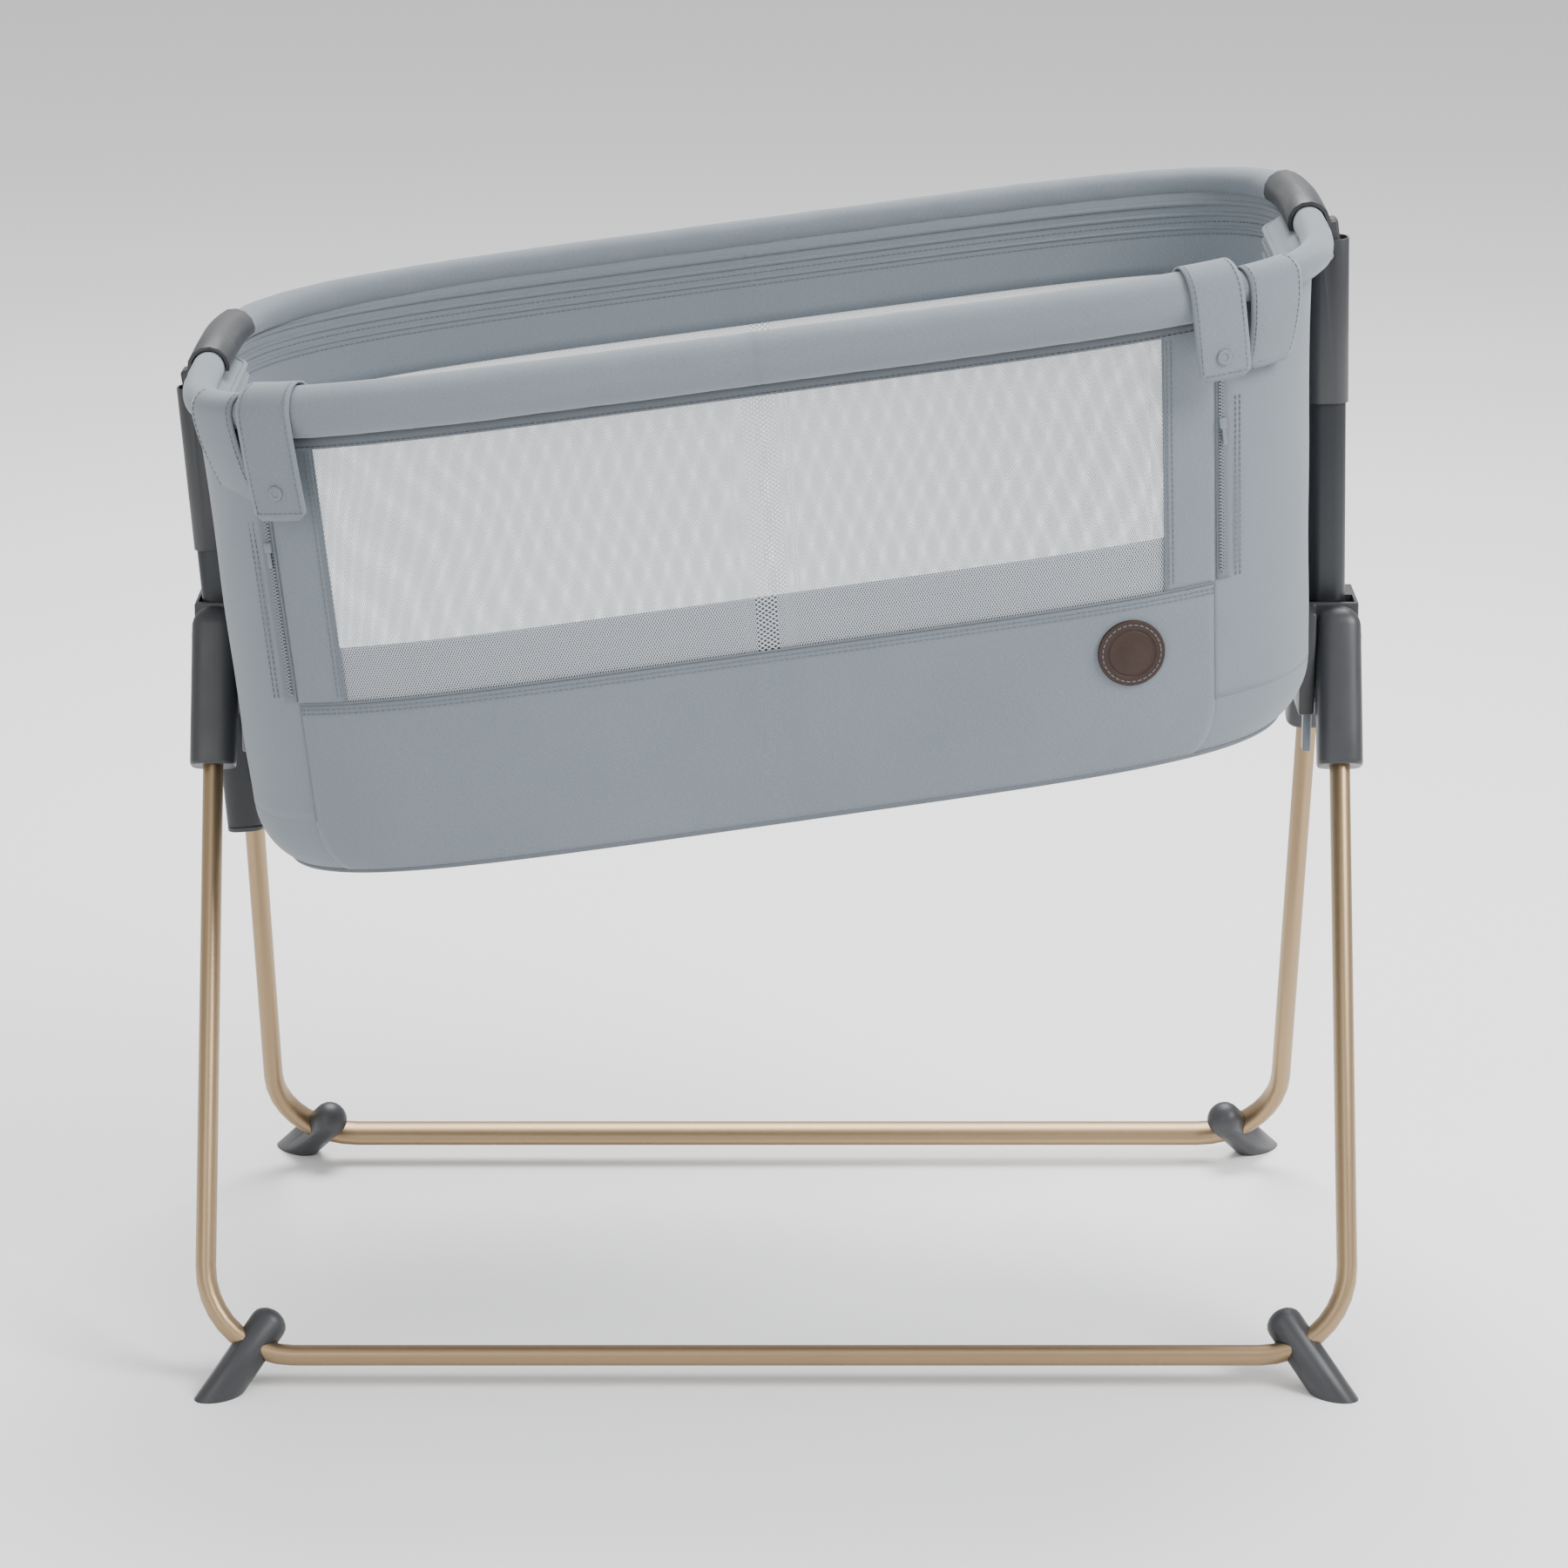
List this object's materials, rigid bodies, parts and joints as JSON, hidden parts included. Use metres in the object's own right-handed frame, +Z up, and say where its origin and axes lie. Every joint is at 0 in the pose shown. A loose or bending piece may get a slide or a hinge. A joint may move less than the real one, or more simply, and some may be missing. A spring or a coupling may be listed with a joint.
{
  "type": "bassinet on stand",
  "caption": "Fabric bassinet with a drop-down mesh side, hung inclined between telescopic posts on a folding stand of two U-shaped tube frames with slanted feet.",
  "frame": {"origin": "on the floor, at the middle of the object's footprint", "axes": "+X along the basket towards its raised end, -Y towards the drop-down side, +Z up"},
  "size_m": [0.951, 0.6374, 0.8969],
  "materials": {
    "plastic": "moulded charcoal plastic with a fine grain",
    "leg_metal": "champagne anodised tube",
    "post_metal": "charcoal powder coat",
    "steel": "zinc-plated",
    "fabric": "melange grey woven polyester",
    "mesh": "fine warp-knitted mesh",
    "foam": "foam mattress in a woven cover",
    "board": "pressed fibre board",
    "leather": "brown patch, slightly glossy"
  },
  "bodies": {
    "hubs": {"left_hub": "plastic", "right_hub": "plastic", "left_front_leg_pin": "steel", "left_rear_leg_pin": "steel", "right_front_leg_pin": "steel", "right_rear_leg_pin": "steel"},
    "front_legs": {"front_leg_tube": "leg_metal", "front_left_leg_sleeve": "plastic", "front_right_leg_sleeve": "plastic", "front_left_foot": "plastic", "front_right_foot": "plastic"},
    "rear_legs": {"rear_leg_tube": "leg_metal", "rear_left_leg_sleeve": "plastic", "rear_right_leg_sleeve": "plastic", "rear_left_foot": "plastic", "rear_right_foot": "plastic"},
    "left_button": {"left_height_button": "plastic"},
    "right_button": {"right_height_button": "plastic"},
    "left_latch": {"left_fold_latch": "steel"},
    "right_latch": {"right_fold_latch": "steel"},
    "left_post": {"left_post_tube": "post_metal", "left_post_sleeve": "plastic", "left_post_end_cap": "plastic", "left_bracket_pin": "steel"},
    "right_post": {"right_post_tube": "post_metal", "right_post_sleeve": "plastic", "right_post_end_cap": "plastic", "right_bracket_pin": "steel"},
    "basket": {"rim_tube": "steel", "rim_cover": "fabric", "left_bracket": "plastic", "right_bracket": "plastic", "back_top_band": "fabric", "back_mesh": "mesh", "back_lower_panel": "fabric", "left_end_wall": "fabric", "right_end_wall": "fabric", "front_lower_panel": "fabric", "left_zip": "mesh", "right_zip": "mesh", "leather_badge": "leather"},
    "hanging_base": {"mattress": "foam", "base_board": "board", "base_cover": "fabric"},
    "drop_side": {"drop_rail_tube": "steel", "drop_rail_pad": "fabric", "drop_side_mesh": "mesh", "left_rail_tab": "fabric", "right_rail_tab": "fabric", "left_tab_snap": "fabric", "right_tab_snap": "fabric"}
  },
  "joints": [
    {"name": "leg_fold", "type": "hinge", "parent": "hubs", "child": "front_legs", "pos_m": [0, -0.034, 0.555], "axis": [1, 0, 0], "range_deg": [0, 22]},
    {"name": "rear_leg_fold", "type": "hinge", "parent": "hubs", "child": "rear_legs", "pos_m": [0, 0.034, 0.555], "axis": [1, 0, 0], "range_deg": [-22, 0]},
    {"name": "height", "type": "slide", "parent": "hubs", "child": "left_post", "axis": [-0.0814, 0, 0.9967], "range_m": [-0.04, 0]},
    {"name": "incline", "type": "hinge", "parent": "left_post", "child": "basket", "pos_m": [-0.4611, 0, 0.73375], "axis": [0, 1, 0], "range_deg": [0, 7.6]},
    {"name": "right_post_swivel", "type": "hinge", "parent": "basket", "child": "right_post", "pos_m": [0.43752, 0, 0.85375], "axis": [0, 1, 0], "range_deg": [-5.9, 0]},
    {"name": "base_sway", "type": "slide", "parent": "basket", "child": "hanging_base", "axis": [0.9912, 0, 0.1324], "range_m": [0, 0.0385], "deforming": ["left_end_wall", "right_end_wall", "front_lower_panel", "back_lower_panel", "back_mesh"]},
    {"name": "drop_side_fold", "type": "hinge", "parent": "basket", "child": "drop_side", "pos_m": [0.01516, -0.24663, 0.59189], "axis": [0.9901, 0, 0.1406], "range_deg": [0, 165]},
    {"name": "left_button_press", "type": "slide", "parent": "hubs", "child": "left_button", "axis": [1, 0, 0], "range_m": [0, 0.002], "stiffness_N_per_m": 600, "springref_m": -0.002},
    {"name": "right_button_press", "type": "slide", "parent": "hubs", "child": "right_button", "axis": [-1, 0, 0], "range_m": [0, 0.002], "stiffness_N_per_m": 600, "springref_m": -0.002},
    {"name": "left_latch_pull", "type": "slide", "parent": "hubs", "child": "left_latch", "axis": [0, 0, -1], "range_m": [0, 0.006], "stiffness_N_per_m": 600, "springref_m": -0.003},
    {"name": "right_latch_pull", "type": "slide", "parent": "hubs", "child": "right_latch", "axis": [0, 0, -1], "range_m": [0, 0.006], "stiffness_N_per_m": 600, "springref_m": -0.003}
  ],
  "couplings": [
    {"joint": "rear_leg_fold", "follows": "leg_fold", "ratio": -1},
    {"joint": "right_post_swivel", "follows": "incline", "ratio": -0.7649},
    {"joint": "base_sway", "follows": "incline", "m_per_rad": 0.2862}
  ]
}
